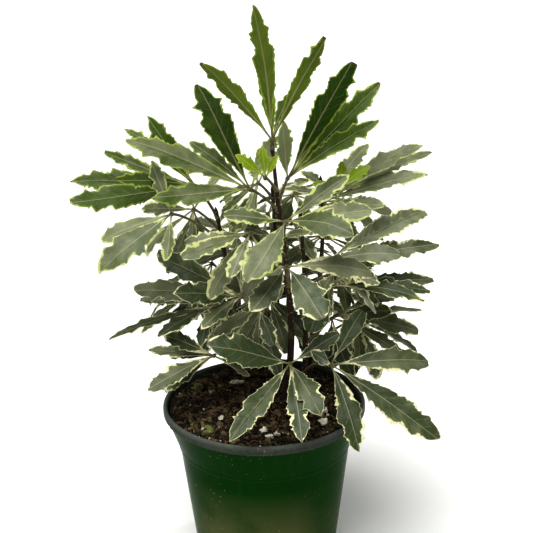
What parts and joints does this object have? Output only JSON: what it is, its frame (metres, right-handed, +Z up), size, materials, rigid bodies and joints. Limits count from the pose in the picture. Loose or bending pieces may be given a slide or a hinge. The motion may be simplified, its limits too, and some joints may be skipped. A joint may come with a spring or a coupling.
{
  "type": "potted plant",
  "caption": "Variegated false aralia with toothed, palmate leaves on thin woody stems, growing in a round plastic nursery pot filled with potting soil.",
  "frame": {"origin": "centre of the pot's flat base", "axes": "+Z up along the pot's axis, -Y towards the side that the picture shows, +X to the right of it"},
  "size_m": [0.2012, 0.1841, 0.31],
  "materials": {
    "pot_green": "gloss",
    "potting_soil": "matte",
    "stem_bark": "matte",
    "leaf_green": "satin",
    "shoot_lime": "satin"
  },
  "bodies": {
    "root": {"leaf_back_01": "leaf_green", "leaf_back_02": "leaf_green", "leaf_back_03": "leaf_green", "leaf_back_04": "leaf_green", "leaf_back_05": "leaf_green", "leaf_back_06": "leaf_green", "leaf_back_07": "leaf_green", "leaf_back_08": "leaf_green", "leaf_back_09": "leaf_green", "leaf_back_10": "leaf_green", "leaf_behind": "leaf_green", "leaf_centre": "leaf_green", "leaf_crown": "leaf_green", "leaf_edge_left": "leaf_green", "leaf_edge_right": "leaf_green", "leaf_far_left": "leaf_green", "leaf_front": "leaf_green", "leaf_high_left": "leaf_green", "leaf_high_right": "leaf_green", "leaf_inner_left": "leaf_green", "leaf_inner_low": "leaf_green", "leaf_left_01": "leaf_green", "leaf_left_02": "leaf_green", "leaf_left_03": "leaf_green", "leaf_left_04": "leaf_green", "leaf_left_05": "leaf_green", "leaf_low_front": "leaf_green", "leaf_low_left": "leaf_green", "leaf_low_right": "leaf_green", "leaf_lower_right": "leaf_green", "leaf_mid_left": "leaf_green", "leaf_middle_01": "leaf_green", "leaf_middle_02": "leaf_green", "leaf_middle_03": "leaf_green", "leaf_middle_04": "leaf_green", "leaf_right_01": "leaf_green", "leaf_right_02": "leaf_green", "leaf_right_03": "leaf_green", "leaf_right_04": "leaf_green", "leaf_right_05": "leaf_green", "leaf_side_right": "leaf_green", "leaf_soil_left": "leaf_green", "leaf_upper_right": "leaf_green", "pot": "pot_green", "shoot_right": "shoot_lime", "shoot_top": "shoot_lime", "soil": "potting_soil", "stem_back": "stem_bark", "stem_front": "stem_bark", "stem_left": "stem_bark", "stem_middle": "stem_bark", "stem_right": "stem_bark"}
  },
  "joints": []
}
